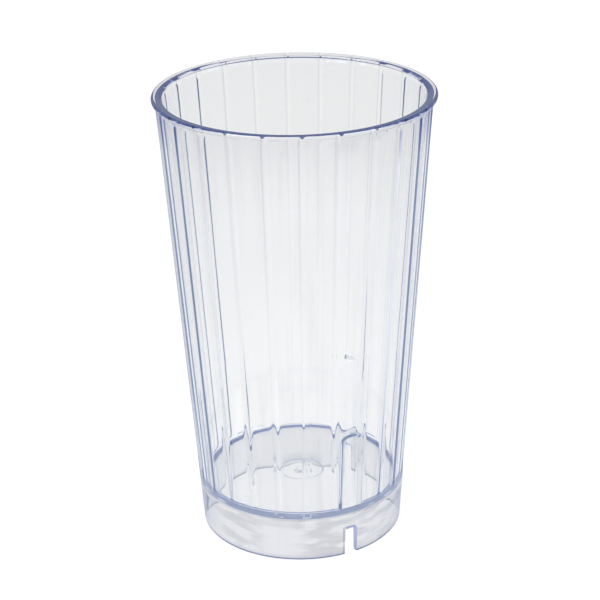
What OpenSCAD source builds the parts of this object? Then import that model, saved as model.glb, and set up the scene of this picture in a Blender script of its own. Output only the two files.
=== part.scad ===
// Fluted clear tumbler, moulded in one piece.
// The origin is at the centre of the foot, +Z points up and -Y is the front.
// Angles round the cup are counted from the front towards +X.

/* [Cup] */
// Overall height, from the foot to the top of the rim
height = 150; // [120:1:180]
// Outer diameter across the rim bead
rim_d = 90; // [84:0.5:100]
// Outer diameter of the wall's cone at the foot
foot_d = 67.2; // [60:0.2:76]
// Wall thickness over a ridge, measured level
wall_t = 2.4; // [2:0.1:3.4]

/* [Rim] */
// Height of the rim bead
bead_h = 1.6; // [1.4:0.1:3]
// How far the bead stands out from the wall
bead_out = 1; // [0.6:0.1:1.6]
// Rounding of the lip's inner edge
lip_r = 1; // [0.4:0.1:1]

/* [Flutes] */
// Number of flutes round the wall
flute_count = 24; // [18:1:32]
// Depth of a flute below the ridges beside it
flute_depth = 0.35; // [0.2:0.05:0.7]
// Width of the ridge left between two flutes
ridge_w = 1.5; // [0.8:0.1:2.5]
// Plain band between the rim bead and the tops of the flutes
flute_gap = 0.7; // [0.2:0.1:4]
// Rounding of a flute's corners
flute_corner = 2; // [0.6:0.1:2.4]
// Angle from the front to the middle of the nearest ridge
flute_turn = 2.6; // [-7.5:0.1:7.5]

/* [Foot and floor] */
// Height of the plain skirt, from the foot to the flutes
skirt_h = 17; // [12:0.5:24]
// Height of the drinking floor above the foot
floor_z = 17; // [12:0.5:24]
// Thickness of the floor
floor_t = 2.2; // [1.8:0.1:3.2]
// Width of the ring that the cup stands on, before its edges are rounded
foot_t = 2; // [1.6:0.1:3]
// Rounding of the foot ring's two edges
foot_round = 0.6; // [0.2:0.1:0.7]
// Draft of the recess under the floor, in degrees
recess_draft = 1; // [0.5:0.25:3]
// Fillet between the wall and the drinking floor
floor_fillet = 1.5; // [0.5:0.1:3]
// Fillet between the skirt and the underside of the floor
recess_fillet = 1; // [0.5:0.1:2]

/* [Stacking lugs] */
// Number of lugs, each with a drain slot below it
lug_count = 3; // [2:1:6]
// Angle from the front to the first lug
lug_turn = 28; // [0:1:60]
// Width of a lug
lug_w = 6.8; // [4:0.1:10]
// How far a lug stands in from the wall
lug_out = 1.5; // [0.8:0.1:2.5]
// Height of a lug above the drinking floor
lug_h = 27.5; // [12:0.5:40]
// Rounding of a lug's two top corners
lug_corner = 2.4; // [0.5:0.1:2.5]

/* [Drain slots] */
// Width of a slot
slot_w = 4.5; // [3:0.1:6]
// Height of a slot, open at the foot
slot_h = 10; // [4:0.5:10.5]
// Rounding of a slot's two top corners
slot_corner = 0.6; // [0.2:0.1:1.4]

/* [Gate well] */
// Diameter of the round well in the middle of the floor's underside
gate_d = 14.6; // [8:0.2:24]
// Depth of the well
gate_depth = 0.9; // [0.3:0.1:1.2]
// Diameter of the gate's stub in the well
stub_d = 3; // [2:0.1:5]
// Height of the stub
stub_h = 0.5; // [0.2:0.1:0.8]

/* [Hidden] */
$fn = 144;
// Facets of the small rounds at edges and corners
round_fn = 48;

foot_r = foot_d / 2;
wall_top_r = rim_d / 2 - bead_out;
// Growth of the wall's radius for each millimetre of height
taper = (wall_top_r - foot_r) / height;
wall_angle = atan(taper);
// The wall's cone runs to this point below the foot
apex_z = -foot_r / taper;

function outer_r(z) = foot_r + taper * z;
function inner_r(z) = outer_r(z) - wall_t;
// Distance from the apex to the wall at height z, along the wall
function slant(z) = (z - apex_z) / cos(wall_angle);

recess_z = floor_z - floor_t;
recess_foot_r = foot_r - foot_t;
recess_top_r = recess_foot_r - recess_z * tan(recess_draft);

half_pitch = 180 / flute_count;
flute_top = height - bead_h - flute_gap;
// The middle of a flute, from the apex along the wall
flute_middle = (slant(skirt_h) + slant(flute_top)) / 2;
// Straight steps round a flute's corner
corner_steps = 4;
// Overrun of cutting shapes past the faces that they cut
over = 1;

function unit(v) = v / norm(v);

// A rounded corner is a list: the corner, the point before it, the point after it and the radius
function half_angle(c) = acos(unit(c[1] - c[0]) * unit(c[2] - c[0])) / 2;
function arc_middle(c) = c[0] + unit(unit(c[1] - c[0]) + unit(c[2] - c[0])) * c[3] / sin(half_angle(c));
// Where the arc meets the edge to the point before the corner (side 1) or after it (side 2)
function arc_end(c, side) = c[0] + unit(c[side] - c[0]) * c[3] / tan(half_angle(c));
// The outline through an outer corner, cut short for its arc
function outer_corner(c) = [arc_end(c, 1), arc_end(c, 2)];
// The outline through an inner corner, filled as far as the middle of its arc
function inner_corner(c) = [arc_end(c, 1), arc_middle(c), arc_end(c, 2)];
// Points along the arc
function arc_points(c) =
    let (middle = arc_middle(c), first = unit(arc_end(c, 1) - middle), last = unit(arc_end(c, 2) - middle))
    [for (i = [0:corner_steps]) middle + c[3] * unit((corner_steps - i) * first + i * last)];

// Half section of the cup without flutes, lugs and slots
module wall_section() {
    foot_out = [foot_r, 0];
    foot_in = [recess_foot_r, 0];
    recess_edge = [recess_top_r, recess_z];
    recess_centre = [0, recess_z];
    floor_centre = [0, floor_z];
    floor_edge = [inner_r(floor_z), floor_z];
    lip_in = [inner_r(height), height];
    lip_out = [rim_d / 2 - bead_h / 2, height];
    bead_foot = [outer_r(height - bead_h), height - bead_h];
    outer_edge = [foot_out, foot_in, bead_foot, foot_round];
    inner_edge = [foot_in, recess_edge, foot_out, foot_round];
    lip = [lip_in, lip_out, floor_edge, lip_r];
    floor_round = [floor_edge, lip_in, floor_centre, floor_fillet];
    recess_round = [recess_edge, recess_centre, foot_in, recess_fillet];
    difference() {
        union() {
            polygon(concat(outer_corner(outer_edge), [bead_foot, [lip_out[0], bead_foot[1]], lip_out],
                           outer_corner(lip), inner_corner(floor_round), [floor_centre, recess_centre],
                           inner_corner(recess_round), outer_corner(inner_edge)));
            translate([lip_out[0], height - bead_h / 2]) circle(bead_h / 2, $fn = round_fn);
            for (c = [outer_edge, inner_edge, lip]) translate(arc_middle(c)) circle(c[3], $fn = round_fn);
        }
        for (c = [floor_round, recess_round]) translate(arc_middle(c)) circle(c[3], $fn = round_fn);
    }
}

// A flute's outline on the wall, with its middle at the origin and the wall's slope along Y
module flute_outline() {
    reach = (slant(flute_top) - slant(skirt_h)) / 2;
    function half_width(y) = (flute_middle + y) * sin(wall_angle) * sin(half_pitch) - ridge_w / 2;
    low = half_width(-reach);
    high = half_width(reach);
    corners = [[-low, -reach], [low, -reach], [high, reach], [-high, reach]];
    polygon([for (i = [0:3])
        each arc_points([corners[i], corners[(i + 3) % 4], corners[(i + 1) % 4], flute_corner])]);
}

// The shape that cuts one flute down to its bed, for a flute whose middle is at the front
module flute_cutter() {
    difference() {
        translate([0, 0, apex_z]) rotate([90 + wall_angle, 0, 0]) translate([0, flute_middle, -wall_t])
            linear_extrude(wall_t + over) flute_outline();
        cylinder(h = height, r1 = foot_r - flute_depth, r2 = wall_top_r - flute_depth);
    }
}

// A rectangle standing on the X axis, with its two top corners rounded
module round_topped(w, h, r) {
    translate([-w / 2, 0]) square([w, h - r]);
    translate([r - w / 2, 0]) square([w - 2 * r, h]);
    for (side = [-1, 1]) translate([side * (w / 2 - r), h - r]) circle(r, $fn = round_fn);
}

// One lug, at the front: a pad that follows the inside of the wall
module stacking_lug() {
    root = wall_t / 2;
    low = floor_z - floor_t / 2;
    high = floor_z + lug_h + over;
    intersection() {
        translate([0, 0, low]) rotate([90, 0, 0])
            linear_extrude(rim_d) round_topped(lug_w, floor_z + lug_h - low, lug_corner);
        rotate_extrude() polygon([[inner_r(low) - lug_out, low], [inner_r(low) + root, low],
                                  [inner_r(high) + root, high], [inner_r(high) - lug_out, high]]);
    }
}

// The shape that cuts one drain slot, at the front
module drain_cutter() {
    translate([0, 0, -over]) rotate([90, 0, 0])
        linear_extrude(foot_d) round_topped(slot_w, slot_h + over, slot_corner);
}

module gate_well() {
    difference() {
        translate([0, 0, recess_z - over]) cylinder(h = gate_depth + over, d = gate_d);
        translate([0, 0, recess_z + gate_depth - stub_h]) cylinder(h = stub_h + over, d = stub_d);
    }
}

module tumbler() {
    color([0.86, 0.89, 0.95, 0.45]) difference() {
        union() {
            rotate_extrude() wall_section();
            for (i = [0:lug_count - 1]) rotate([0, 0, lug_turn + i * 360 / lug_count]) stacking_lug();
        }
        for (i = [0:flute_count - 1])
            rotate([0, 0, flute_turn + (2 * i + 1) * half_pitch]) flute_cutter();
        for (i = [0:lug_count - 1]) rotate([0, 0, lug_turn + i * 360 / lug_count]) drain_cutter();
        gate_well();
    }
}

tumbler();
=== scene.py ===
"""Clear fluted tumbler: its moulded body, its plastic, and a plain white stage.

Lengths are in metres. The cup stands on z = 0 at the origin, and its front looks along -Y.
Angles round the cup are counted from the front towards +X.
"""

import math

import bpy
import numpy as np
from mathutils import Matrix, Vector


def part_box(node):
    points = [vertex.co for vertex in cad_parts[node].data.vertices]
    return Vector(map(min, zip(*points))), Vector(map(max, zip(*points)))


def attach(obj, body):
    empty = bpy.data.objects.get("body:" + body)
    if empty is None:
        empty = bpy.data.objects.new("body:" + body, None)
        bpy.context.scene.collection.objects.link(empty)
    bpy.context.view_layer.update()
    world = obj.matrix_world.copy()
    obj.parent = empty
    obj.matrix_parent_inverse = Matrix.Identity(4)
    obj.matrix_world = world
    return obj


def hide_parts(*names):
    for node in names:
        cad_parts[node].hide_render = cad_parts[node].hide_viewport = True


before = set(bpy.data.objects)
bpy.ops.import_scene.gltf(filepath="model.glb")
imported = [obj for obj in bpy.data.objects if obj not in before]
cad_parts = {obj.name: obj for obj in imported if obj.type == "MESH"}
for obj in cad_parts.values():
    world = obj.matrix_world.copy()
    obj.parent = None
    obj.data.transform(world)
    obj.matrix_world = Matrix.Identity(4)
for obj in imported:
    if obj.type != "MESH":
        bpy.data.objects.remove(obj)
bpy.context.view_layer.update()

bl_info = {
    "name": "Clear Fluted Tumbler",
    "version": (1, 0, 0),
    "blender": (4, 5, 0),
    "location": "View3D > Sidebar > Tumbler",
    "description": "Builds a clear moulded tumbler with a fluted wall, and a stage to show it on",
    "category": "Object",
}

NODE = "tumbler"
BODY = "root"
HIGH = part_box(NODE)[1]
MM = 0.001

# Columns of the mesh between two ridges, and those of one flank of a ridge
PER_FLUTE = 24
RIDGE_STEPS = 7
# Columns on either side of a lug's middle: its flat face, its rounded edge, and the wall beside it
LUG_FACE = 4
LUG_EDGE = 12
LUG_REACH = 17
# Columns on either side of a slot's middle: its width, and the skirt beside it
SLOT_EDGE = 6
SLOT_REACH = 12
# How thickly small specks are strewn in the plastic, and their size
SPECKS_PER_METRE = 110
SPECK_RADIUS = 0.16 * MM
# Width of the valley round the top of the lip
VALLEY_WIDTH = 1.5 * MM
# Width of the rounded edge round a lug, and the height above it over which the columns lean towards it
SOFT_EDGE = 1.6 * MM
LUG_LEAN = 25 * MM
# Least share of a lug's half width that its flat face keeps between the rounded top corners
LEAST_FACE = 0.6
# Angle on either side of a lug's middle that can hold a part of it
LUG_SECTOR = 0.5
# Rounding of the stub under the floor and of the well's edges, and the stub's innermost ring
STUB_ROUND = 0.15 * MM
WELL_ROUND = 0.4 * MM
STUB_CORE = 0.5 * MM
# The soft corner below the rim bead: how deep it cuts into the wall, and how far it reaches down the
# wall and out along the bead
BEAD_HOLLOW = 0.02 * MM
BEAD_CORNER = 0.06 * MM
# Heights of the mesh's rings in millimetres, counted from an end of the flutes and from a lug's top.
# They lie closer together where the surface curves.
FLUTE_END_RINGS = (0, 0.12, 0.28, 0.45, 0.62, 0.78, 0.92, 1.06, 1.35, 1.7, 2.1, 2.5, 3)
LUG_TOP_RINGS = (0, 0.18, 0.4, 0.65, 0.95, 1.2, 1.42, 1.6, 1.9, 2.3, 2.7, 3.2, 6, 15)
# Faces that meet at more than this angle keep a sharp edge
SHARP_ANGLE = math.radians(40)


def length(label, text, value, low, high):
    """A size in metres that a user may change."""
    return bpy.props.FloatProperty(
        name=label, description=text, default=value, min=low, max=high,
        precision=5, subtype="DISTANCE", unit="LENGTH",
    )


def turn(label, text, degrees, low, high):
    """An angle that a user may change."""
    return bpy.props.FloatProperty(
        name=label, description=text, default=math.radians(degrees),
        min=math.radians(low), max=math.radians(high), subtype="ANGLE", unit="ROTATION",
    )


def colour(label, text, value):
    """A colour that a user may change."""
    return bpy.props.FloatVectorProperty(
        name=label, description=text, default=value, size=3, min=0, max=1, subtype="COLOR",
    )


class TumblerSizes(bpy.types.PropertyGroup):
    """The cup's sizes. They are the solid's, with softer flutes and a longer lip."""

    height: length("Height", "From the foot to the top of the rim", HIGH.z, 0.1, 0.2)
    rim_radius: length("Rim radius", "Outer radius of the rim bead", HIGH.x, 0.03, 0.06)
    foot_radius: length("Foot radius", "Outer radius of the wall's cone at the foot", 33.6 * MM, 0.02, 0.05)
    wall: length("Wall", "Thickness over a ridge, measured level", 2.4 * MM, 0.002, 0.004)
    bead_height: length("Bead height", "Height of the rim bead", 1.6 * MM, 0.0014, 0.003)
    bead_out: length("Bead stand-out", "How far the bead stands out from the wall", 1 * MM, 0.0005, 0.002)
    lip_fall: length("Lip fall", "Height of the lip's rounding towards the inside", 0.95 * MM, 0.0006, 0.0014)
    lip_valley: length("Lip valley", "Depth of the faint valley round the lip's top", 0.15 * MM, 0, 0.0002)
    flutes: bpy.props.IntProperty(
        name="Flutes", description="Number of flutes round the wall", default=24, min=18, max=32
    )
    flute_depth: length("Flute depth", "Depth of a flute below the ridges", 0.26 * MM, 0.0002, 0.0007)
    ridge_width: length("Ridge width", "Width of the ridge between two flutes", 1.5 * MM, 0.0008, 0.0025)
    flank_width: length("Flank width", "Width of the soft flank beside a ridge", 1.05 * MM, 0.0004, 0.002)
    flute_gap: length("Flute gap", "Plain band between the bead and the flutes", 0.7 * MM, 0.0002, 0.004)
    flute_corner: length("Flute corner", "Rounding of a flute's corners", 2 * MM, 0.0006, 0.0024)
    flute_turn: turn("Flute turn", "Angle from the front to the nearest ridge", 2.6, -7.5, 7.5)
    skirt: length("Skirt", "Height of the plain skirt below the flutes", 17 * MM, 0.012, 0.024)
    floor_height: length("Floor height", "Height of the drinking floor", 17 * MM, 0.012, 0.024)
    floor_thickness: length("Floor thickness", "Thickness of the floor", 2.2 * MM, 0.0018, 0.0032)
    foot_width: length("Foot width", "Width of the ring that the cup stands on", 2 * MM, 0.0016, 0.003)
    foot_round: length("Foot rounding", "Rounding of the foot ring's edges", 0.6 * MM, 0.0002, 0.0007)
    recess_draft: turn("Recess draft", "Draft of the recess under the floor", 1, 0.5, 3)
    floor_fillet: length("Floor fillet", "Fillet between wall and floor", 1.5 * MM, 0.0005, 0.003)
    recess_fillet: length("Recess fillet", "Fillet in the recess", 1 * MM, 0.0005, 0.002)
    lugs: bpy.props.IntProperty(
        name="Lugs", description="Number of stacking lugs, each with a slot below", default=3, min=2, max=6
    )
    lug_turn: turn("Lug turn", "Angle from the front to the first lug", 28, 0, 60)
    lug_width: length("Lug width", "Width of a stacking lug", 6.8 * MM, 0.004, 0.01)
    lug_out: length("Lug stand-out", "How far a lug stands in from the wall", 1.5 * MM, 0.0008, 0.0025)
    lug_height: length("Lug height", "Height of a lug above the floor", 27.5 * MM, 0.012, 0.04)
    lug_corner: length("Lug corner", "Rounding of a lug's top corners", 2.4 * MM, 0.0005, 0.0025)
    slot_width: length("Slot width", "Width of a drain slot", 4.5 * MM, 0.003, 0.006)
    slot_height: length("Slot height", "Height of a drain slot", 10 * MM, 0.004, 0.0105)
    slot_corner: length("Slot corner", "Rounding of a slot's top corners", 0.6 * MM, 0.0002, 0.0014)
    well_radius: length("Well radius", "Radius of the well under the floor", 7.3 * MM, 0.004, 0.012)
    well_depth: length("Well depth", "Depth of the well under the floor", 0.9 * MM, 0.0003, 0.0012)
    stub_radius: length("Stub radius", "Radius of the gate's stub in the well", 1.5 * MM, 0.001, 0.0025)
    stub_height: length("Stub height", "Height of the gate's stub", 0.5 * MM, 0.0002, 0.0008)


class TumblerColours(bpy.types.PropertyGroup):
    """The colours of the plastic, of the light and shade painted on it, and of the stage."""

    kept: colour("Kept light", "What the plastic lets through of each colour", (0.2, 0.33, 0.48))
    body: colour("Body", "Tint of the outer face", (1.0, 1.0, 1.0))
    # Painted shade: the grey streaks and patches that refraction through the wall gives, put into the outer
    # face's tint
    shade: colour("Shade", "Tint in the streaks of the outer face", (0.83, 0.83, 0.84))
    # Painted shade: the skirt's darker tint and the ripples in it stand in for the greys seen through the
    # skirt
    skirt_painted_shade: colour("Skirt tint", "Tint of the skirt", (0.66, 0.665, 0.685))
    skirt_shade: colour("Skirt shade", "Tint in the hollows of the skirt's ripples", (0.42, 0.43, 0.455))
    # Painted shade: the dark navy edge round the foot, for light turned back inside the plastic
    foot_edge_shade: colour("Foot tint", "Tint of the edge that the cup stands on", (0.13, 0.18, 0.34))
    # Painted shade: the inner face darkens towards the rim, for the greys seen through the wall's upper part
    inner_low: colour("Inside, low", "Tint of the inner face halfway up", (0.9, 0.9, 0.91))
    inner_high: colour("Inside, high", "Tint of the inner face near the rim", (0.69, 0.695, 0.69))
    inner_foot: colour("Inside, foot", "Tint of the inner face near the floor", (1.0, 1.0, 1.0))
    # Painted shade on the faces that look up
    up_face_shade: colour("Drinking floor", "Tint of the drinking floor and the rim's top", (0.75, 0.755, 0.77))
    # Painted shade: a dark line down one side of each ridge, as light from one side gives it
    ridge_shade: colour("Ridge line", "Tint along one edge of a ridge", (0.74, 0.74, 0.77))
    # Darkens the flutes, so that each ridge's middle shows as a painted highlight
    between: colour("Between ridges", "Tint of what is seen through a flute", (0.962, 0.962, 0.962))
    # Painted shade: the line in the corner under the bead
    bead_shade_line: colour("Bead line", "Tint of the fine line along the bead's lower edge", (0.66, 0.67, 0.7))
    speck: colour("Specks", "Tint of the small specks in the plastic", (0.25, 0.25, 0.28))
    # Painted shade: dark wedges where the ridges show through the bead
    mark: colour("Marks", "Tint of the small marks where the ridges meet the rim", (0.02, 0.035, 0.12))
    # Shines tint reflections inside the plastic, the rim's with painted shade; glows are painted light, an
    # emission added to those reflections
    wall_shine: colour("Wall shine", "Tint of a reflection inside the wall", (0.94, 0.95, 0.965))
    wall_glow: colour("Wall glow", "Light that a reflection inside the wall gathers", (0.045, 0.056, 0.085))
    rim_shine: colour("Rim shine", "Tint of a reflection inside the rim", (0.42, 0.46, 0.62))
    rim_glow: colour("Rim glow", "Light that a reflection inside the rim gathers", (0.028, 0.042, 0.108))
    floor_glow: colour("Floor glow", "Light that a reflection in the floor gathers", (0.068, 0.077, 0.104))
    shade_cast: colour("Cast shade", "What the plastic lets through to the stage", (0.93, 0.94, 0.96))
    backdrop: colour("Backdrop", "The white behind the cup", (1.0, 1.0, 1.0))
    room: colour("Room", "The studio that shows in reflections", (0.38, 0.38, 0.4))
    ground: colour("Floor", "The pale floor", (0.8, 0.8, 0.8))
    shadowed: colour("Floor seen", "Part of the floor's white that a shadow takes", (0.18, 0.18, 0.18))


def ramp(share):
    """A straight rise from 0 to 1 with soft ends."""
    soft = 0.1
    t = np.clip(share, 0, 1)
    near = np.minimum(t, 1 - t)
    bend = np.where(near < soft, near**2 / (2 * soft), near - soft / 2) / (1 - soft)
    return np.where(t < 0.5, bend, 1 - bend)


def taper(s):
    """Growth of the wall's radius for each metre of height."""
    return (s.rim_radius - s.bead_out - s.foot_radius) / s.height


def outer_radius(s, z):
    """Radius of the wall's outer cone at height z."""
    return s.foot_radius + taper(s) * z


def inner_radius(s, z):
    """Radius of the inside at height z."""
    return outer_radius(s, z) - s.wall


def flutes_top(s):
    """Height of the flutes' upper end, with half of its soft edge."""
    return s.height - s.bead_height - s.flute_gap + s.flank_width / 2


def lugs_top(s):
    """Height of a lug's upper end, with half of its soft edge."""
    return s.floor_height + s.lug_height + SOFT_EDGE / 2


def inside_distance(x, z, half, top, corner):
    """Distance to the edge of a shape with rounded upper corners, from a point inside it."""
    dx = np.abs(x) - (half - corner)
    dz = z - (top - corner) + 0 * dx
    outside = np.hypot(np.maximum(dx, 0), np.maximum(dz, 0))
    return corner - outside - np.minimum(np.maximum(dx, dz), 0)


def corner_half(half, corner, below_top):
    """Half width of a shape with rounded upper corners, at a distance below its top."""
    if below_top >= corner:
        return half
    rise = corner - max(below_top, 0)
    return half - corner + math.sqrt(max(corner**2 - rise**2, 0))


class Columns:
    """The angles of the mesh's columns, which lean towards ridges, lugs and slots."""

    def __init__(self, s):
        self.s = s
        self.count = s.flutes * PER_FLUTE
        self.step = math.tau / self.count
        self.home = s.flute_turn + np.arange(self.count) * self.step

    def through(self, marks):
        """Every column's angle, where some columns have a given angle and the rest lie between."""
        marks = sorted(marks)
        at = np.array([m[0] for m in marks], float)
        angle = np.array([m[1] for m in marks], float)
        at = np.concatenate([at - self.count, at, at + self.count])
        angle = np.concatenate([angle - math.tau, angle, angle + math.tau])
        return np.interp(np.arange(self.count), at, angle)

    def at_ridges(self, z):
        """Columns along the edges and down the flanks of every ridge at height z."""
        s = self.s
        radius = outer_radius(s, z)
        crest = (s.ridge_width - s.flank_width) / 2 / radius
        flank = s.flank_width / radius
        marks = []
        for k in range(s.flutes):
            column = k * PER_FLUTE
            middle = s.flute_turn + k * math.tau / s.flutes
            marks.append((column, middle))
            for side in (-1, 1):
                for step in range(1, RIDGE_STEPS + 1):
                    down = crest + flank * (step - 1) / (RIDGE_STEPS - 1)
                    marks.append((column + side * step, middle + side * down))
        return self.through(marks)

    def middles(self):
        """The angle of each lug and slot, with the column nearest to it."""
        s = self.s
        for i in range(s.lugs):
            angle = s.lug_turn + i * math.tau / s.lugs
            yield angle, round((angle - s.flute_turn) / self.step)

    def at_lugs(self, z):
        """Columns along the edges of every lug at height z."""
        s = self.s
        half = corner_half((s.lug_width + SOFT_EDGE) / 2, s.lug_corner + SOFT_EDGE / 2, lugs_top(s) - z)
        face = max(half - SOFT_EDGE, LEAST_FACE * half)
        return self.beside(inner_radius(s, z), [(LUG_FACE, face), (LUG_EDGE, half)], LUG_REACH)

    def at_slots(self, radius, z):
        """Columns along the edges of every slot at height z."""
        s = self.s
        half = corner_half(s.slot_width / 2, s.slot_corner, s.slot_height - z)
        return self.beside(radius, [(SLOT_EDGE, half)], SLOT_REACH)

    def beside(self, radius, offsets, reach):
        """Columns at given distances from the middle of every lug or slot, and at home past their reach."""
        marks = []
        for angle, column in self.middles():
            marks.append((column, angle))
            for side in (-1, 1):
                for step, half in offsets:
                    marks.append((column + side * step, angle + side * math.asin(half / radius)))
                far = column + side * reach
                marks.append((far, self.s.flute_turn + far * self.step))
        marks = [(column % self.count, angle + (column % self.count - column) * self.step)
                 for column, angle in marks]
        spare = set(range(self.count)).difference(*[self.near(column, reach) for _, column in self.middles()])
        marks += [(column, self.home[column]) for column in spare]
        return self.through(marks)

    def near(self, column, reach):
        """The columns within reach of one column."""
        return [(column + i) % self.count for i in range(-reach, reach + 1)]


def ring(angles, radius, z):
    """A ring of points."""
    radius = radius + 0 * angles
    return np.stack([radius * np.sin(angles), -radius * np.cos(angles), z + 0 * angles], axis=1)


def fluted_ring(s, columns, z):
    """The outer wall at height z, with a shallow flute between every two ridges."""
    angles = columns.at_ridges(z)
    radius = outer_radius(s, z)
    pitch = math.tau / s.flutes
    top = flutes_top(s)
    off = (angles - s.flute_turn) % pitch - pitch / 2
    flank = s.flank_width
    half = pitch / 2 * radius - (s.ridge_width - flank) / 2
    # Both ends have the same shape, so the lower half is measured as if it were the upper one
    middle = (top + s.skirt - flank / 2) / 2
    corner = s.flute_corner + flank / 2
    inside = inside_distance(off * radius, middle + abs(z - middle), half, top, corner)
    return ring(angles, radius - s.flute_depth * ramp(inside / flank), z)


def lug_ring(s, columns, angles, radius, z):
    """The inside at height z, with the lugs where they stand in further than the given radius."""
    wall = inner_radius(s, z)
    corner = s.lug_corner + SOFT_EDGE / 2
    made = radius + 0 * angles
    for middle, _ in columns.middles():
        off = (angles - middle + math.pi) % math.tau - math.pi
        # A place on another side of the cup counts as far away
        x = np.where(np.abs(off) < LUG_SECTOR, np.sin(off) * wall, 1)
        inside = inside_distance(x, z, (s.lug_width + SOFT_EDGE) / 2, lugs_top(s), corner)
        made = np.minimum(made, wall - s.lug_out * ramp(inside / SOFT_EDGE))
    return ring(angles, made, z)


def arc(centre, radius, start, end, steps):
    """Points (radius from the axis, height) along an arc, with its angles in degrees."""
    for i in range(steps + 1):
        a = math.radians(start + (end - start) * i / steps)
        yield centre[0] + radius * math.cos(a), centre[1] + radius * math.sin(a)


def corner_arc(before, corner, after, radius, steps):
    """Points along the arc that rounds a corner between two straight lines."""
    corner = np.array(corner, float)
    back = np.array(before, float) - corner
    on = np.array(after, float) - corner
    back /= np.linalg.norm(back)
    on /= np.linalg.norm(on)
    half = math.acos(np.clip(back @ on, -1, 1)) / 2
    middle = back + on
    centre = corner + middle / np.linalg.norm(middle) * radius / math.sin(half)
    first = corner + back * radius / math.tan(half) - centre
    last = corner + on * radius / math.tan(half) - centre
    sweep = math.pi - 2 * half
    for i in range(steps + 1):
        t = i / steps
        between = first * math.sin((1 - t) * sweep) + last * math.sin(t * sweep)
        yield tuple(centre + between / math.sin(sweep))


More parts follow.
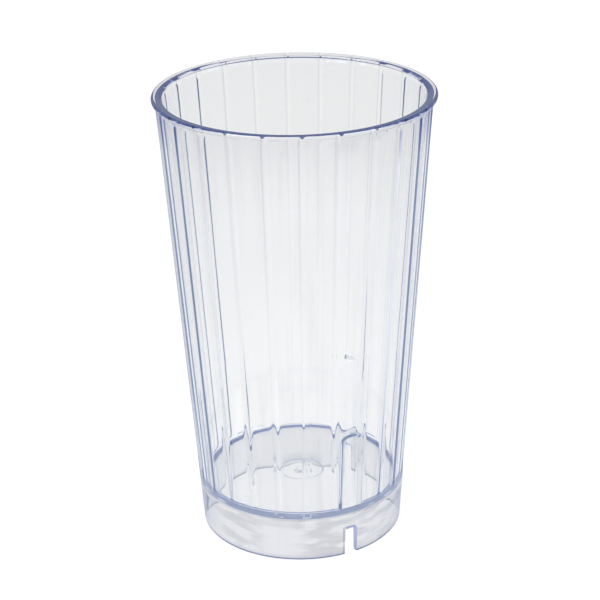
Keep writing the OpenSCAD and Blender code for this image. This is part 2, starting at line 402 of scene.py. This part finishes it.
class CupMesh:
    """Rings from the middle of the underside, round the foot, up the wall and down the inside."""

    def __init__(self, s):
        self.s = s
        self.columns = Columns(s)
        self.rings = []
        # The rings that the slots cut, each list from the slots' top to the foot
        self.cut_inside = []
        self.cut_outside = []

    def add(self, points):
        """Adds a ring and gives its number."""
        self.rings.append(points)
        return len(self.rings) - 1

    def add_plain(self, radius, z, angles=None):
        """Adds a round ring."""
        return self.add(ring(self.columns.home if angles is None else angles, radius, z))

    def add_profile(self, profile, angles=None):
        """Adds a round ring at each point of a profile."""
        for radius, z in profile:
            self.add_plain(radius, z, angles)

    def recess_radius(self, z):
        """Radius of the recess's wall at height z."""
        return self.s.foot_radius - self.s.foot_width - z * math.tan(self.s.recess_draft)

    def slot_heights(self):
        """Heights of the rings on both sides of the skirt, from the foot's round to the slot's top."""
        s = self.s
        straight = s.slot_height - s.slot_corner - s.foot_round
        low = [s.foot_round + straight * i / 4 for i in range(1, 5)]
        turned = [s.slot_height - s.slot_corner * (1 - math.sin(math.radians(a))) for a in (22, 45, 67, 90)]
        return low + turned

    def underside(self):
        """The stub and the well in the middle, the recess's ceiling and its wall, down to the foot."""
        s = self.s
        ceiling = s.floor_height - s.floor_thickness
        well = ceiling + s.well_depth
        stub = well - s.stub_height
        stub_edge = (s.stub_radius, stub)
        stub_foot = (s.stub_radius, well)
        well_edge = (s.well_radius, well)
        well_mouth = (s.well_radius, ceiling)
        edge = (self.recess_radius(ceiling), ceiling)
        foot_in = (self.recess_radius(0), 0)
        self.add_plain(STUB_CORE, stub)
        self.add_profile(corner_arc((0, stub), stub_edge, stub_foot, STUB_ROUND, 3))
        self.add_profile(corner_arc(stub_edge, stub_foot, well_edge, STUB_ROUND, 3))
        self.add_plain((s.stub_radius + s.well_radius) / 2, well)
        self.add_profile(corner_arc((0, well), well_edge, well_mouth, WELL_ROUND, 5))
        self.add_profile(corner_arc(well_edge, well_mouth, edge, WELL_ROUND, 5))
        for share in (0.4, 0.75):
            self.add_plain(s.well_radius + (edge[0] - s.well_radius) * share, ceiling)
        self.add_profile(corner_arc((0, ceiling), edge, foot_in, s.recess_fillet, 8))
        # The columns lean towards the slots on the way down
        start = ceiling - s.recess_fillet
        for z in (ceiling - 2.4 * MM, s.slot_height + 1 * MM):
            share = (start - z) / (start - s.slot_height)
            r = self.recess_radius(z)
            slots = self.columns.at_slots(r, s.slot_height)
            self.add_plain(r, z, self.columns.home + (slots - self.columns.home) * share)
        for z in reversed(self.slot_heights()):
            r = self.recess_radius(z)
            self.cut_inside.append(self.add_plain(r, z, self.columns.at_slots(r, z)))
        for r, z in corner_arc(edge, foot_in, (s.foot_radius, 0), s.foot_round, 4):
            self.cut_inside.append(self.add_plain(r, z, self.columns.at_slots(r, z)))

    def outside(self):
        """The foot's outer edge, the skirt, the flutes and the rim bead."""
        s = self.s
        inner = (s.foot_radius - s.foot_width, 0)
        wall = (outer_radius(s, s.skirt), s.skirt)
        for r, z in corner_arc(inner, (s.foot_radius, 0), wall, s.foot_round, 4):
            self.cut_outside.insert(0, self.add_plain(r, z, self.columns.at_slots(r, z)))
        for z in self.slot_heights():
            r = outer_radius(s, z)
            self.cut_outside.insert(0, self.add_plain(r, z, self.columns.at_slots(r, z)))
        low_end = s.skirt - s.flank_width / 2
        high_end = flutes_top(s)
        ends = self.columns.at_ridges(low_end)
        slots = self.columns.at_slots(outer_radius(s, s.slot_height), s.slot_height)
        for share in (0.3, 0.65, 0.93):
            z = s.slot_height + (low_end - s.slot_height) * share
            self.add_plain(outer_radius(s, z), z, slots + (ends - slots) * share)
        low = [low_end + d * MM for d in FLUTE_END_RINGS]
        high = [high_end - d * MM for d in reversed(FLUTE_END_RINGS)]
        span = 9
        between = [low[-1] + (high[0] - low[-1]) * i / span for i in range(1, span)]
        for z in low + between + high:
            self.add(fluted_ring(s, self.columns, z))
        ends = self.columns.at_ridges(high_end)
        bead = s.bead_height / 2
        bead_foot = s.height - s.bead_height
        self.add_plain(outer_radius(s, bead_foot) - BEAD_HOLLOW, bead_foot - BEAD_CORNER, ends)
        self.add_plain(outer_radius(s, bead_foot) + BEAD_CORNER, bead_foot, ends)
        self.add_profile(arc((s.rim_radius - bead, s.height - bead), bead, -80, 88, 15), ends)

    def inside(self):
        """The lip, the inner wall with its lugs, the floor's fillet and the floor."""
        s = self.s
        lip = (inner_radius(s, s.height), s.height)
        crown = s.rim_radius - s.bead_height / 2
        high = s.height - s.lip_fall
        floor_edge = (inner_radius(s, s.floor_height), s.floor_height)
        reach = crown - inner_radius(s, high)
        ends = self.columns.at_ridges(flutes_top(s))
        for a, b in arc((0, 0), 1, 90, 180, 18):
            valley = s.lip_valley * math.sin(math.pi * min(-a * reach / VALLEY_WIDTH, 1)) ** 2
            self.add_plain(crown + a * reach, high + b * s.lip_fall - valley, ends)
        lug_top = lugs_top(s)
        home = self.columns.home
        for share in (0.05, 0.25, 0.5, 0.75):
            z = high + (lug_top + LUG_LEAN - high) * share
            self.add_plain(inner_radius(s, z), z, ends + (home - ends) * share)
        lugs = self.columns.at_lugs(lug_top)
        for share in (0, 0.4, 0.7, 0.9):
            z = lug_top + LUG_LEAN * (1 - share)
            self.add_plain(inner_radius(s, z), z, home + (lugs - home) * share)
        fillet = list(corner_arc(lip, floor_edge, (0, s.floor_height), s.floor_fillet, 8))
        heights = [lug_top - d * MM for d in LUG_TOP_RINGS]
        heights += [fillet[0][1] + 3 * MM, fillet[0][1] + 1 * MM]
        for r, z in [(inner_radius(s, z), z) for z in heights] + fillet:
            self.add(lug_ring(s, self.columns, self.columns.at_lugs(z), r, z))
        for share in (0.97, 0.85, 0.6, 0.3, 0.1):
            self.add_plain(fillet[-1][0] * share, s.floor_height)

    def walls(self):
        """Faces between the rings, without those inside the slots."""
        count = self.columns.count
        cut = set(self.cut_inside + self.cut_outside)
        open_columns = set()
        for _, column in self.columns.middles():
            open_columns.update((column + i) % count for i in range(-SLOT_EDGE, SLOT_EDGE))
        for k in range(len(self.rings) - 1):
            through = k in cut and k + 1 in cut
            a = k * count
            b = a + count
            for i in range(count):
                j = (i + 1) % count
                if not (through and i in open_columns):
                    yield a + i, a + j, b + j, b + i

    def slot_faces(self, column):
        """The top and the two sides of the slot round one column."""
        count = self.columns.count
        pairs = [(a * count, b * count) for a, b in zip(self.cut_inside, self.cut_outside)]
        inner, outer = pairs[0]
        for step in range(-SLOT_EDGE, SLOT_EDGE):
            i = (column + step) % count
            j = (i + 1) % count
            yield inner + i, inner + j, outer + j, outer + i
        for upper, lower in zip(pairs, pairs[1:]):
            for side in (-1, 1):
                i = (column + side * SLOT_EDGE) % count
                quad = (upper[0] + i, upper[1] + i, lower[1] + i, lower[0] + i)
                yield quad if side > 0 else quad[::-1]

    def build(self):
        """Vertices and faces of the whole cup."""
        self.underside()
        self.outside()
        self.inside()
        count = self.columns.count
        last = (len(self.rings) - 1) * count
        below = (0, 0, self.rings[0][0][2])
        above = (0, 0, self.s.floor_height)
        points = np.concatenate([*self.rings, [below, above]])
        faces = list(self.walls())
        for _, column in self.columns.middles():
            faces += self.slot_faces(column)
        for i in range(count):
            j = (i + 1) % count
            faces.append((len(points) - 2, j, i))
            faces.append((len(points) - 1, last + i, last + j))
        return points, faces


def new_piece(context, name, points, faces, material):
    """A smooth mesh object with one material."""
    mesh = bpy.data.meshes.new(name)
    mesh.from_pydata([tuple(p) for p in points], [], [tuple(f) for f in faces])
    mesh.materials.append(material)
    mesh.polygons.foreach_set("use_smooth", [True] * len(mesh.polygons))
    mesh.set_sharp_from_angle(angle=SHARP_ANGLE)
    mesh.update()
    piece = bpy.data.objects.new(name, mesh)
    context.scene.collection.objects.link(piece)
    return piece


class Nodes:
    """A short way to add and link shader nodes."""

    def __init__(self, tree):
        self.tree = tree
        tree.nodes.clear()

    def fill(self, socket, value):
        """Links a node's output to a socket, or gives the socket a number or a colour."""
        if isinstance(value, bpy.types.NodeSocket):
            self.tree.links.new(value, socket)
        elif socket.type == "RGBA":
            socket.default_value = (*value[:3], 1)
        else:
            socket.default_value = value

    def add(self, kind, inputs=None, **settings):
        """A node with its settings, and with values or links for its inputs."""
        node = self.tree.nodes.new(kind)
        for key, value in settings.items():
            setattr(node, key, value)
        for key, value in (inputs or {}).items():
            self.fill(node.inputs[key], value)
        return node

    def math(self, operation, *values, **settings):
        """The output of a maths node."""
        return self.add("ShaderNodeMath", dict(enumerate(values)), operation=operation, **settings).outputs[0]

    def mix(self, share, first, second):
        """The output of a node that mixes two colours."""
        return self.add("ShaderNodeMix", {0: share, 6: first, 7: second}, data_type="RGBA").outputs[2]

    def rise(self, value, start, end, low=0.0, high=1.0):
        """A share that goes from low where the value is start to high where it is end."""
        return self.add("ShaderNodeMapRange", {
            "Value": value, "From Min": start, "From Max": end, "To Min": low, "To Max": high,
        }).outputs[0]


class Spot:
    """Node outputs that tell where a point lies on the cup, and which way the surface looks there."""

    def __init__(self, n, sizes):
        coordinates = n.add("ShaderNodeTexCoord")
        self.place = coordinates.outputs["Object"]
        x, self.y, self.height = n.add("ShaderNodeSeparateXYZ", {0: self.place}).outputs
        normal = coordinates.outputs["Normal"]
        self.up = n.add("ShaderNodeSeparateXYZ", {0: normal}).outputs[2]
        # Above 0 on the outside, and below 0 on the inside
        level = n.add("ShaderNodeVectorMath", {0: self.place, 1: (1, 1, 0)}, operation="MULTIPLY").outputs[0]
        facing = n.add("ShaderNodeVectorMath", {0: level, 1: normal}, operation="DOT_PRODUCT")
        self.outward = facing.outputs["Value"]
        # Distance round the cup from the middle of the nearest ridge
        pitch = math.tau / sizes.flutes
        angle = n.math("ARCTAN2", x, n.math("MULTIPLY", self.y, -1))
        off = n.math("WRAP", n.math("SUBTRACT", angle, sizes.flute_turn), pitch / 2, -pitch / 2)
        radius = n.math("ADD", n.math("MULTIPLY", self.height, taper(sizes)), sizes.foot_radius)
        self.across = n.math("MULTIPLY", off, radius)


# The plastic's refractive index, and how much its body absorbs
PLASTIC_IOR = 1.58
ABSORPTION = 10.0
# Heights between which the inner face's painted shade changes, first above the floor and then below the rim
INNER_FIRST = (45 * MM, 80 * MM)
INNER_SECOND = (95 * MM, 125 * MM)
# A face whose outward value is below the first is on the inside, and one that looks up by more than the
# second is the drinking floor or the rim's top, which get painted shade
INSIDE_BELOW = -5 * MM
LOOKS_UP = 0.7
# How far below the rim the painted shade in its reflections starts and is full, and how high and dark the
# foot's painted shade is
RIM_DARK = 16 * MM
RIM_DARKEST = 1 * MM
FOOT_DARK = 13 * MM
FOOT_DARKNESS = 0.75
# How far above and below the floor's edge its stronger painted glow reaches
FLOOR_MARGIN = 0.6 * MM
# How far below the rim the painted highlight and painted shade line along the ridges are full and have faded,
# and what is left of them there
RIDGE_FULL = 3 * MM
RIDGE_FADE = 70 * MM
RIDGE_LEFT = 0.2
# Distances from a ridge's middle: where its painted highlight is full, where that ends, and the middle of the
# painted shade line
HIGHLIGHT_FULL = 0.35 * MM
HIGHLIGHT_END = 1.0 * MM
SHADE_LINE_PLACE = 0.95 * MM
# Half the painted shade line's width, and its strength in a ray that comes in and in one that goes out
SHADE_LINE_HALF = 0.5 * MM
SHADE_COMING_IN = 0.7
SHADE_GOING_OUT = 0.5
# How strong the wall's painted shade is in its streaks and patches, and how far below the rim the patches
# start and are full
STREAK_SHADE = 0.55
PATCH_SHADE = 0.7
PATCH_START = 9 * MM
PATCH_FULL = 5 * MM
# How far below the flutes the skirt's painted shade starts to give way, and has gone
SKIRT_GIVES_WAY = 1.5 * MM
SKIRT_GONE = 0.5 * MM
# Height of the painted shade wedge above a ridge on the bead, and its half width for each metre of height
WEDGE = 0.95 * MM
WEDGE_SPREAD = 1.1
# A wedge stays on the bead's side, where the face looks up by less than this
WEDGE_LOOKS_UP = 0.8
# Half the width of the painted shade line along the bead's lower edge
BEAD_SHADE_LINE = 0.14 * MM
# How far up the foot its painted shade reaches, and up to where it is full
FOOT_SHADE_TOP = 2.6 * MM
FOOT_SHADE_FULL = 0.3 * MM


def waves(n, place, stretch, scale, low, high):
    """A soft noise between 0 and 1, stretched along the axes of the object."""
    spread = n.add("ShaderNodeMapping", {"Vector": place, "Scale": stretch})
    noise = n.add("ShaderNodeTexNoise", {
        "Vector": spread.outputs[0], "Scale": scale, "Detail": 2.0, "Roughness": 0.45,
    })
    return n.add("ShaderNodeMapRange", {
        "Value": noise.outputs[0], "From Min": low, "From Max": high,
    }, interpolation_type="SMOOTHSTEP").outputs[0]


def rim_wedges(n, spot, sizes):
    """1 in a small wedge of painted shade on the bead's side above each ridge."""
    drop = n.math("SUBTRACT", sizes.height, spot.height)
    half = n.math("MULTIPLY", n.math("SUBTRACT", WEDGE, drop), WEDGE_SPREAD)
    wedge = n.math("LESS_THAN", n.math("ABSOLUTE", spot.across), half)
    return n.math("MULTIPLY", wedge, n.math("LESS_THAN", spot.up, WEDGE_LOOKS_UP))


def ridge_light_and_shade(n, spot, sizes):
    """A painted highlight down the middle of each ridge and a painted shade line along its left, which fade
    towards the foot.
    """
    fade = n.rise(spot.height, sizes.height - RIDGE_FADE, sizes.height - RIDGE_FULL, RIDGE_LEFT, 1.0)
    middle = n.rise(n.math("ABSOLUTE", spot.across), HIGHLIGHT_END, HIGHLIGHT_FULL)
    # The left of a ridge in front is its right at the back
    left = n.math("MULTIPLY", spot.across, n.math("SIGN", spot.y))
    near = n.math("DIVIDE", n.math("ABSOLUTE", n.math("SUBTRACT", left, SHADE_LINE_PLACE)), SHADE_LINE_HALF)
    line = n.math("SUBTRACT", 1, near, use_clamp=True)
    return n.math("MULTIPLY", middle, fade), n.math("MULTIPLY", line, fade)


def wall_tint(n, spot, colours, sizes, line):
    """The outer wall, with painted shade in soft streaks and in soft patches just below the rim, and a
    painted shade line along each ridge.
    """
    streak_shade = waves(n, spot.place, (1, 1, 0.03), 260, 0.45, 0.75)
    near_rim = n.rise(spot.height, sizes.height - PATCH_START, sizes.height - PATCH_FULL)
    patch_shade = n.math("MULTIPLY", waves(n, spot.place, (1, 1, 0.7), 90, 0.52, 0.62), near_rim)
    # Painted shade in the wall's streaks and in the patches just below the rim
    shaded = n.math("MAXIMUM", n.math("MULTIPLY", streak_shade, STREAK_SHADE), n.math("MULTIPLY", patch_shade, PATCH_SHADE))
    tint = n.mix(shaded, colours.body, colours.shade)
    # Painted shade line along one side of each ridge
    return n.mix(n.math("MULTIPLY", line, SHADE_COMING_IN), tint, colours.ridge_shade)


def skirt_painted_shade(n, spot, colours):
    """Painted shade on the skirt: a darker tint with soft ripples in it."""
    fine = waves(n, spot.place, (0.7, 0.7, 2.4), 120, 0.4, 0.6)
    broad = waves(n, spot.place, (0.6, 0.6, 0.6), 60, 0.3, 0.55)
    return n.mix(n.math("MULTIPLY", fine, broad), colours.skirt_painted_shade, colours.skirt_shade)


def outer_tint(n, spot, colours, sizes, line):
    """The outside, from the skirt to the bead."""
    on_skirt = n.rise(spot.height, sizes.skirt - SKIRT_GIVES_WAY, sizes.skirt - SKIRT_GONE, 1.0, 0.0)
    wall = wall_tint(n, spot, colours, sizes, line)
    # The skirt takes its painted shade in place of the wall's
    tint = n.mix(on_skirt, wall, skirt_painted_shade(n, spot, colours))
    # The bead is left clear of the wall's painted shade, which makes it a lighter band as a painted
    # highlight, and a painted shade line runs along its lower edge
    above = n.math("SUBTRACT", spot.height, sizes.height - sizes.bead_height)
    tint = n.mix(n.math("GREATER_THAN", above, 0), tint, (1, 1, 1))
    on_line = n.math("LESS_THAN", n.math("ABSOLUTE", above), BEAD_SHADE_LINE)
    return n.mix(on_line, tint, colours.bead_shade_line)


def inner_shade(n, spot, colours):
    """The inside of the wall, with painted shade that darkens it towards the rim."""
    tint = n.mix(n.rise(spot.height, *INNER_FIRST), colours.inner_foot, colours.inner_low)
    return n.mix(n.rise(spot.height, *INNER_SECOND), tint, colours.inner_high)


def surface_tint(n, spot, colours, sizes, line):
    """The whole surface: outside, inside and drinking floor with their painted shade, specks, and the painted
    shade of the foot's edge and the rim's wedges.
    """
    inside = n.math("LESS_THAN", spot.outward, INSIDE_BELOW)
    tint = n.mix(inside, outer_tint(n, spot, colours, sizes, line), inner_shade(n, spot, colours))
    # Painted shade on faces that look up: the drinking floor and the rim's top
    tint = n.mix(n.math("GREATER_THAN", spot.up, LOOKS_UP), tint, colours.up_face_shade)
    cells = n.add("ShaderNodeTexVoronoi", {"Vector": spot.place, "Scale": SPECKS_PER_METRE}, feature="F1")
    speck = n.math("LESS_THAN", cells.outputs["Distance"], SPECK_RADIUS * SPECKS_PER_METRE)
    tint = n.mix(speck, tint, colours.speck)
    # Painted shade along the foot's edge
    foot = n.rise(spot.height, FOOT_SHADE_TOP, FOOT_SHADE_FULL)
    tint = n.mix(n.math("MULTIPLY", foot, foot), tint, colours.foot_edge_shade)
    # Painted shade in the rim's wedges
    return n.mix(rim_wedges(n, spot, sizes), tint, colours.mark)


def turned_back(n, spot, colours, sizes):
    """A reflection inside the plastic: a tinted mirror, darkened by painted shade near the rim and the foot,
    and a little painted glow on the way.
    """
    rim = n.rise(spot.height, sizes.height - RIM_DARK, sizes.height - RIM_DARKEST)
    # Painted shade: reflections inside the foot are nearly as dark as those in the rim
    foot = n.math("MULTIPLY", n.math("LESS_THAN", spot.height, FOOT_DARK), FOOT_DARKNESS)
    dark = n.math("MAXIMUM", rim, foot)
    shine = n.add("ShaderNodeBsdfAnisotropic", {
        "Color": n.mix(dark, colours.wall_shine, colours.rim_shine), "Roughness": 0.0,
    })
    # Level with the drinking floor, its edge gets more painted glow than the wall
    middle = sizes.floor_height - sizes.floor_thickness / 2
    off_floor = n.math("ABSOLUTE", n.math("SUBTRACT", spot.height, middle))
    at_floor = n.math("LESS_THAN", off_floor, sizes.floor_thickness / 2 + FLOOR_MARGIN)
    painted_glow = n.mix(dark, colours.wall_glow, colours.rim_glow)
    painted_glow = n.mix(at_floor, painted_glow, colours.floor_glow)
    # Painted glow: an emission, though the plastic is no lamp
    glow = n.add("ShaderNodeEmission", {"Color": painted_glow, "Strength": 1.0})
    return n.add("ShaderNodeAddShader", {0: shine.outputs[0], 1: glow.outputs[0]}).outputs[0]


def clear_plastic(colours, sizes):
    """Glass-clear plastic with a faint blue body, with painted shade that darkens the rim and lays ripples on
    the skirt, and painted highlights and glow.
    """
    material = bpy.data.materials.new("clear_plastic")
    material.use_nodes = True
    n = Nodes(material.node_tree)
    spot = Spot(n, sizes)
    # The ridges' painted highlight down their middles, and the painted shade line beside them
    middle, line = ridge_light_and_shade(n, spot, sizes)
    # A ray that comes in
    outer = n.add("ShaderNodeBsdfPrincipled", {
        "Base Color": surface_tint(n, spot, colours, sizes, line),
        "Roughness": 0.0, "IOR": PLASTIC_IOR, "Transmission Weight": 1.0,
    })
    # A ray that goes out, or is turned back
    # Painted highlight down the ridges' middles, and painted shade line beside them, in a ray that goes out
    through = n.mix(middle, colours.between, (1, 1, 1))
    through = n.mix(n.math("MULTIPLY", line, SHADE_GOING_OUT), through, colours.ridge_shade)
    bend = n.add("ShaderNodeBsdfRefraction", {"Color": through, "Roughness": 0.0, "IOR": PLASTIC_IOR})
    share = n.add("ShaderNodeFresnel", {"IOR": PLASTIC_IOR})
    inner = n.add("ShaderNodeMixShader", {
        0: share.outputs[0], 1: bend.outputs[0], 2: turned_back(n, spot, colours, sizes),
    })
    side = n.add("ShaderNodeNewGeometry").outputs["Backfacing"]
    solid = n.add("ShaderNodeMixShader", {0: side, 1: outer.outputs[0], 2: inner.outputs[0]})
    # The lamps shine through to the stage
    shadow = n.add("ShaderNodeLightPath").outputs["Is Shadow Ray"]
    lit = n.add("ShaderNodeBsdfTransparent", {"Color": colours.shade_cast})
    whole = n.add("ShaderNodeMixShader", {0: shadow, 1: solid.outputs[0], 2: lit.outputs[0]})
    body = n.add("ShaderNodeVolumeAbsorption", {"Color": colours.kept, "Density": ABSORPTION})
    n.add("ShaderNodeOutputMaterial", {"Surface": whole.outputs[0], "Volume": body.outputs[0]})
    material.cycles.emission_sampling = "NONE"
    return material


# The stage's floor reaches this far from the cup on every side
FLOOR_REACH = 4.0
# How far from the cup the floor's own light starts to rise and is full, and its strength before and after
OWN_LIGHT_RISE = (0.25, 0.9)
OWN_LIGHT = (0.9, 1.0)


def white_to_see(n, path):
    """1 for a ray from the camera, or one that has come through clear plastic."""
    return n.math("MAXIMUM", path.outputs["Is Camera Ray"], path.outputs["Is Transmission Ray"])


def pale_floor(colours):
    """A pale floor that looks white and still takes a light shadow, and that is clear from below."""
    material = bpy.data.materials.new("pale_floor")
    material.use_nodes = True
    n = Nodes(material.node_tree)
    path = n.add("ShaderNodeLightPath")
    matt = n.add("ShaderNodeBsdfDiffuse", {"Color": colours.ground})
    faint = n.add("ShaderNodeBsdfDiffuse", {"Color": colours.shadowed})
    # Far from the lamps the floor needs more light of its own to stay as white as the backdrop
    place = n.add("ShaderNodeTexCoord").outputs["Object"]
    away = n.add("ShaderNodeVectorMath", {0: place}, operation="LENGTH").outputs["Value"]
    own_light = n.rise(away, *OWN_LIGHT_RISE, *OWN_LIGHT)
    white = n.add("ShaderNodeEmission", {"Color": colours.backdrop, "Strength": own_light})
    seen = n.add("ShaderNodeAddShader", {0: faint.outputs[0], 1: white.outputs[0]})
    top = n.add("ShaderNodeMixShader", {0: white_to_see(n, path), 1: matt.outputs[0], 2: seen.outputs[0]})
    below = n.add("ShaderNodeNewGeometry").outputs["Backfacing"]
    clear = n.add("ShaderNodeBsdfTransparent")
    whole = n.add("ShaderNodeMixShader", {0: below, 1: top.outputs[0], 2: clear.outputs[0]})
    n.add("ShaderNodeOutputMaterial", {"Surface": whole.outputs[0]})
    return material


def studio_world(context, colours):
    """White behind the cup, and a soft grey room in its reflections."""
    world = bpy.data.worlds.new("studio")
    world.use_nodes = True
    context.scene.world = world
    n = Nodes(world.node_tree)
    path = n.add("ShaderNodeLightPath")
    white = n.add("ShaderNodeBackground", {"Color": colours.backdrop, "Strength": 1.0})
    room = n.add("ShaderNodeBackground", {"Color": colours.room, "Strength": 1.0})
    whole = n.add("ShaderNodeMixShader", {
        0: white_to_see(n, path), 1: room.outputs[0], 2: white.outputs[0],
    })
    n.add("ShaderNodeOutputWorld", {"Surface": whole.outputs[0]})


class TUMBLER_OT_body(bpy.types.Operator):
    """Build the tumbler's moulded body in clear plastic"""

    bl_idname = "tumbler.body"
    bl_label = "Tumbler Body"
    bl_options = {"REGISTER", "UNDO"}

    def execute(self, context):
        points, faces = CupMesh(context.scene.tumbler_sizes).build()
        if not faces:
            raise RuntimeError("the tumbler has no faces")
        plastic = clear_plastic(context.scene.tumbler_colours, context.scene.tumbler_sizes)
        cup = new_piece(context, "tumbler_body", points, faces, plastic)
        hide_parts(NODE)
        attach(cup, BODY)
        return {"FINISHED"}


# The camera, as found from the cup's outline in a square picture 600 pixels wide
PICTURE_WIDTH = 600
FOCAL_PIXELS = 1836.6
CAMERA_BACK = 553.5 * MM
CAMERA_HEIGHT = 319.4 * MM
CAMERA_PITCH = 0.4102
CAMERA_PAN = 0.001
CAMERA_ROLL = -0.0186
SENSOR = 36


def add_camera(context):
    """A camera that sees the cup as the picture shows it."""
    data = bpy.data.cameras.new("camera")
    data.sensor_width = SENSOR
    data.lens = FOCAL_PIXELS / PICTURE_WIDTH * SENSOR
    camera = bpy.data.objects.new("camera", data)
    camera.location = (0, -CAMERA_BACK, CAMERA_HEIGHT)
    camera.rotation_mode = "XYZ"
    turned = Matrix.Rotation(-CAMERA_PAN, 4, "Z") @ Matrix.Rotation(math.pi / 2 - CAMERA_PITCH, 4, "X")
    turned = turned @ Matrix.Rotation(CAMERA_ROLL, 4, "Z")
    camera.rotation_euler = turned.to_euler()
    context.scene.collection.objects.link(camera)
    context.scene.camera = camera


def add_softbox(context, name, place, width, height, watts):
    """A lamp with a wide soft face, turned towards the cup."""
    data = bpy.data.lights.new(name, "AREA")
    data.shape = "RECTANGLE"
    data.size = width
    data.size_y = height
    data.energy = watts
    lamp = bpy.data.objects.new(name, data)
    lamp.location = place
    towards = Vector((0, 0, HIGH.z / 2)) - Vector(place)
    lamp.rotation_euler = towards.to_track_quat("-Z", "Y").to_euler()
    context.scene.collection.objects.link(lamp)


class TUMBLER_OT_stage(bpy.types.Operator):
    """Add the floor, the studio's light and the camera"""

    bl_idname = "tumbler.stage"
    bl_label = "Stage"
    bl_options = {"REGISTER", "UNDO"}

    def execute(self, context):
        colours = context.scene.tumbler_colours
        corners = [(x * FLOOR_REACH, y * FLOOR_REACH, 0) for x, y in ((-1, -1), (1, -1), (1, 1), (-1, 1))]
        floor = new_piece(context, "floor", corners, [(0, 1, 2, 3)], pale_floor(colours))
        studio_world(context, colours)
        add_softbox(context, "key_softbox", place=(-0.9, -0.6, 1.1), width=0.7, height=0.9, watts=9)
        add_softbox(context, "fill_softbox", place=(1.0, -0.3, 0.8), width=0.6, height=0.9, watts=5)
        add_camera(context)
        context.scene.view_settings.view_transform = "Standard"
        return {"FINISHED"}


class TUMBLER_PT_panel(bpy.types.Panel):
    """The tumbler's operators and values"""

    bl_idname = "TUMBLER_PT_panel"
    bl_label = "Clear Fluted Tumbler"
    bl_space_type = "VIEW_3D"
    bl_region_type = "UI"
    bl_category = "Tumbler"

    def draw(self, context):
        layout = self.layout
        layout.operator("tumbler.body")
        layout.operator("tumbler.stage")
        for group in (context.scene.tumbler_sizes, context.scene.tumbler_colours):
            box = layout.box()
            for name in group.__annotations__:
                box.prop(group, name)


CLASSES = (TumblerSizes, TumblerColours, TUMBLER_OT_body, TUMBLER_OT_stage, TUMBLER_PT_panel)


def register():
    for cls in CLASSES:
        bpy.utils.register_class(cls)
    bpy.types.Scene.tumbler_sizes = bpy.props.PointerProperty(type=TumblerSizes)
    bpy.types.Scene.tumbler_colours = bpy.props.PointerProperty(type=TumblerColours)


def unregister():
    del bpy.types.Scene.tumbler_colours
    del bpy.types.Scene.tumbler_sizes
    for cls in reversed(CLASSES):
        bpy.utils.unregister_class(cls)


def main():
    """Registers the classes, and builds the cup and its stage."""
    register()
    bpy.ops.tumbler.body()
    bpy.ops.tumbler.stage()


if __name__ == "__main__":
    main()
